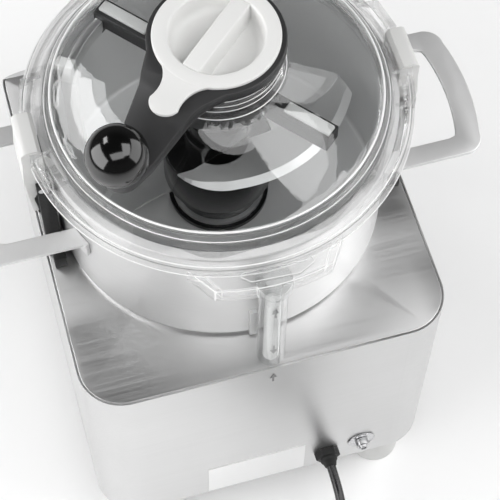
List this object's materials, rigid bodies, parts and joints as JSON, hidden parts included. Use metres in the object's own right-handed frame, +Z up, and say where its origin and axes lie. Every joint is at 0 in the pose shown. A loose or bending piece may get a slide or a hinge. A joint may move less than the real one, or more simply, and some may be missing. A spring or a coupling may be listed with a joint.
{
  "type": "table-top bowl cutter",
  "caption": "Table-top bowl cutter: steel drive housing, stainless bowl with side handles, clear clamped lid, turning scraper lever with ball knob, filling cap and power cable.",
  "frame": {"origin": "on the floor under the axis of the bowl, at the middle of the machine's base area", "axes": "+Z up, +Y to the rear with the cable, -Y to the front with the buttons, +X to the left as seen from the rear"},
  "size_m": [0.378, 0.567, 0.4649],
  "materials": {
    "sheet_steel": "brushed",
    "bowl_steel": "satin",
    "blade_steel": "polished",
    "shaft_steel": "ground",
    "motor_alloy": "cast",
    "motor_iron": "laminated",
    "foot_rubber": "matte",
    "seal_rubber": "matte",
    "clear_plastic": "clear, polished",
    "white_plastic": "fine matte",
    "grey_plastic": "fine matte",
    "lever_plastic": "fine grain",
    "hub_plastic": "semi matte",
    "ball_plastic": "high gloss",
    "black_plastic": "matte",
    "cable_plastic": "semi gloss",
    "brass_metal": "plain",
    "board_green": "lacquered",
    "green_button": "gloss",
    "red_button": "gloss",
    "black_button": "gloss",
    "plate_metal": "satin"
  },
  "bodies": {
    "base": {"housing_body": "sheet_steel", "top_plate": "sheet_steel", "front_panel": "sheet_steel", "base_plate": "sheet_steel", "feet": "foot_rubber", "foot_screws": "shaft_steel", "motor_flange": "motor_alloy", "upper_bearing": "shaft_steel", "shaft_seal": "seal_rubber", "motor_stator": "motor_iron", "motor_end_shield": "motor_alloy", "lower_bearing": "shaft_steel", "motor_bolts": "shaft_steel", "board_standoffs": "brass_metal", "control_board": "board_green", "run_capacitor": "grey_plastic", "lid_sensor": "black_plastic", "latch_base_left": "black_plastic", "latch_base_right": "black_plastic", "latch_pins": "shaft_steel", "latch_springs": "shaft_steel", "data_plate": "plate_metal", "gland_nut": "black_plastic", "cable_gland": "black_plastic", "terminal_washer": "shaft_steel", "terminal_post": "shaft_steel", "button_collars": "shaft_steel", "contact_blocks": "black_plastic", "cable_run": "cable_plastic", "cable_coil": "cable_plastic", "plug": "cable_plastic"},
    "bowl": {"bowl": "bowl_steel", "handle_left": "bowl_steel", "handle_right": "bowl_steel", "bowl_guide": "bowl_steel"},
    "lid": {"lid_dome": "clear_plastic", "lid_gasket": "seal_rubber", "visor": "clear_plastic", "interlock_tube": "clear_plastic", "interlock_rod": "white_plastic"},
    "cap": {"cap": "white_plastic"},
    "scraper": {"lever_arm": "lever_plastic", "ball_knob": "ball_plastic", "scraper_carrier": "lever_plastic", "bar_wipers": "white_plastic", "wall_wiper": "white_plastic"},
    "spindle": {"drive_spindle": "shaft_steel", "motor_rotor": "motor_iron", "cooling_fan": "black_plastic"},
    "rotor": {"rotor_hub": "hub_plastic", "lower_blade": "blade_steel", "upper_blade": "blade_steel", "blade_spacer": "hub_plastic", "blade_collar": "hub_plastic", "lock_knob": "hub_plastic"},
    "latch_left": {"latch_clip_left": "grey_plastic"},
    "latch_right": {"latch_clip_right": "grey_plastic"},
    "start_button": {"start_button": "green_button"},
    "stop_button": {"stop_button": "red_button"},
    "pulse_button": {"pulse_button": "black_button"}
  },
  "joints": [
    {"name": "bowl_lift", "type": "slide", "parent": "base", "child": "bowl", "axis": [0, 0, 1], "range_m": [0, 0.15]},
    {"name": "lid_lift", "type": "slide", "parent": "bowl", "child": "lid", "axis": [0, 0, 1], "range_m": [0, 0.15]},
    {"name": "cap_lift", "type": "slide", "parent": "lid", "child": "cap", "axis": [0, 0, 1], "range_m": [0, 0.06]},
    {"name": "lever_turn", "type": "hinge", "parent": "lid", "child": "scraper", "pos_m": [0, 0, 0.445], "axis": [0, 0, 1], "continuous": true},
    {"name": "spindle_turn", "type": "hinge", "parent": "base", "child": "spindle", "pos_m": [0, 0, 0.18], "axis": [0, 0, 1], "continuous": true},
    {"name": "rotor_turn", "type": "hinge", "parent": "bowl", "child": "rotor", "pos_m": [0, 0, 0.3], "axis": [0, 0, 1], "continuous": true},
    {"name": "latch_left", "type": "hinge", "parent": "base", "child": "latch_left", "pos_m": [0.13, 0, 0.344], "axis": [0, 1, 0], "range_deg": [0, 14], "stiffness_Nm_per_rad": 0.5, "springref_deg": -11.46},
    {"name": "latch_right", "type": "hinge", "parent": "base", "child": "latch_right", "pos_m": [-0.13, 0, 0.344], "axis": [0, -1, 0], "range_deg": [0, 14], "stiffness_Nm_per_rad": 0.5, "springref_deg": -11.46},
    {"name": "start_press", "type": "slide", "parent": "base", "child": "start_button", "axis": [0, 0.7474, -0.6644], "range_m": [0, 0.0025], "stiffness_N_per_m": 400, "springref_m": -0.002},
    {"name": "stop_press", "type": "slide", "parent": "base", "child": "stop_button", "axis": [0, 0.7474, -0.6644], "range_m": [0, 0.0025], "stiffness_N_per_m": 400, "springref_m": -0.002},
    {"name": "pulse_press", "type": "slide", "parent": "base", "child": "pulse_button", "axis": [0, 0.7474, -0.6644], "range_m": [0, 0.0025], "stiffness_N_per_m": 400, "springref_m": -0.002}
  ],
  "couplings": [
    {"joint": "rotor_turn", "follows": "spindle_turn", "ratio": 1}
  ]
}
